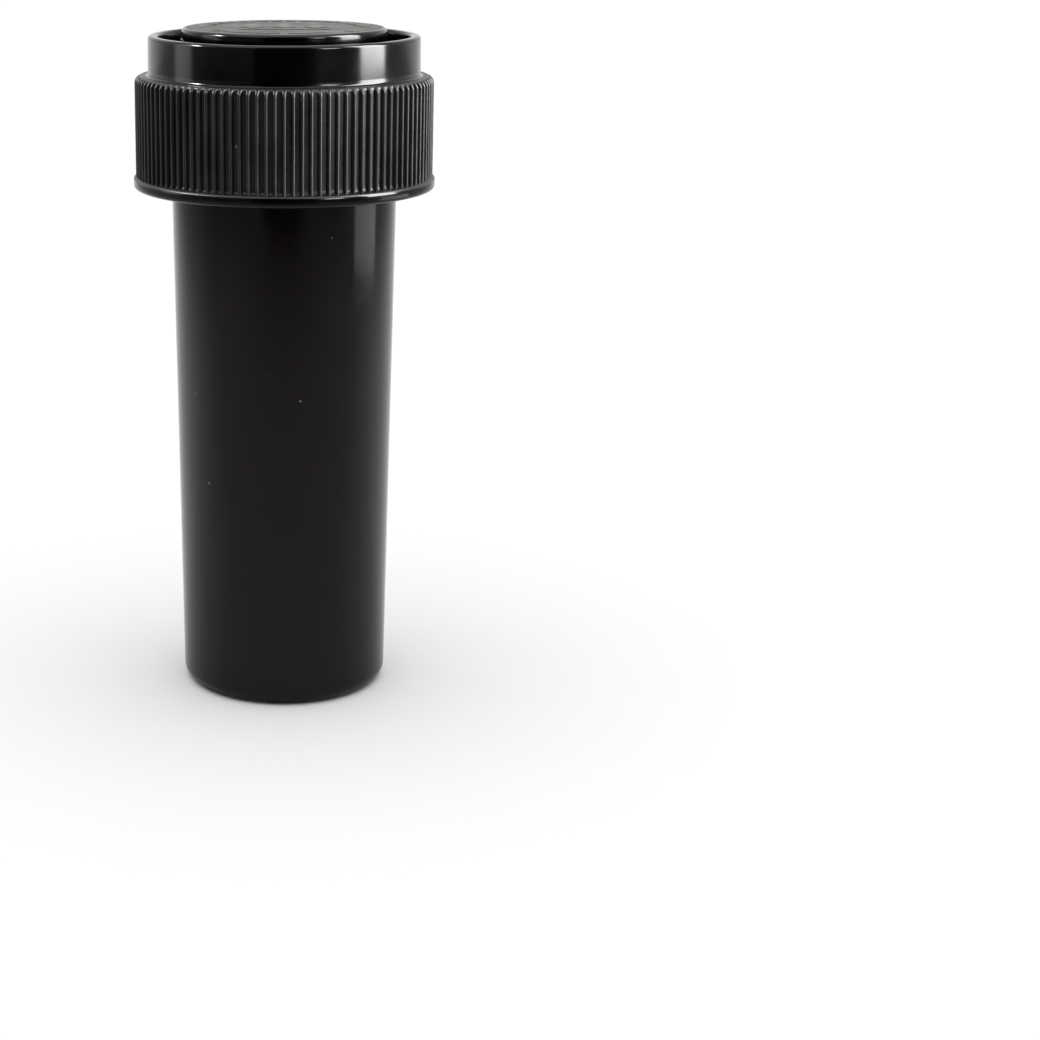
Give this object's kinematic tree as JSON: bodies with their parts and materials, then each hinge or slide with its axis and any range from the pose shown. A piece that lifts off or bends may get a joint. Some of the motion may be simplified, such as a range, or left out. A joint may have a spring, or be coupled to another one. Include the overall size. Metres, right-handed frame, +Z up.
{
  "type": "prescription vial with reversible push-and-turn cap",
  "caption": "Round moulded medicine vial with bayonet lugs on its neck, closed by a knurled child-resistant push-and-turn cap with a raised ring wall and threaded plug.",
  "frame": {"origin": "centre of the foot, in the plane of the ring that the vial stands on", "axes": "+Z up along the vial's axis to the cap's face, -Y to the front, +X to the right seen from the front"},
  "size_m": [0.0364, 0.0364, 0.0818],
  "materials": {
    "vial_plastic": "glossy opaque black polypropylene, faintly warm",
    "cap_plastic": "black polypropylene, glossy on the ring wall and plug, satin on the grip ribs",
    "seal_plastic": "natural soft polyethylene",
    "ink": "dull olive-gold print"
  },
  "bodies": {
    "vial": {"vial_body": "vial_plastic"},
    "seal": {"seal_disc": "seal_plastic"},
    "spring": {"spring_ring": "seal_plastic"},
    "cap": {"cap_shell": "cap_plastic", "mark_flip": "ink", "mark_push": "ink", "mark_open": "ink", "mark_close": "ink"}
  },
  "joints": [
    {"name": "cap_lift", "type": "slide", "parent": "vial", "child": "seal", "axis": [0, 0, 1], "range_m": [0, 0.045]},
    {"name": "cap_turn", "type": "hinge", "parent": "seal", "child": "spring", "pos_m": [0, 0, 0.074], "axis": [0, 0, 1], "range_deg": [-63.75, 0]},
    {"name": "cap_push", "type": "slide", "parent": "spring", "child": "cap", "axis": [0, 0, 1], "range_m": [0, 0.00135], "stiffness_N_per_m": 12000, "springref_m": 0.0022, "deforming": ["spring_ring"]}
  ]
}
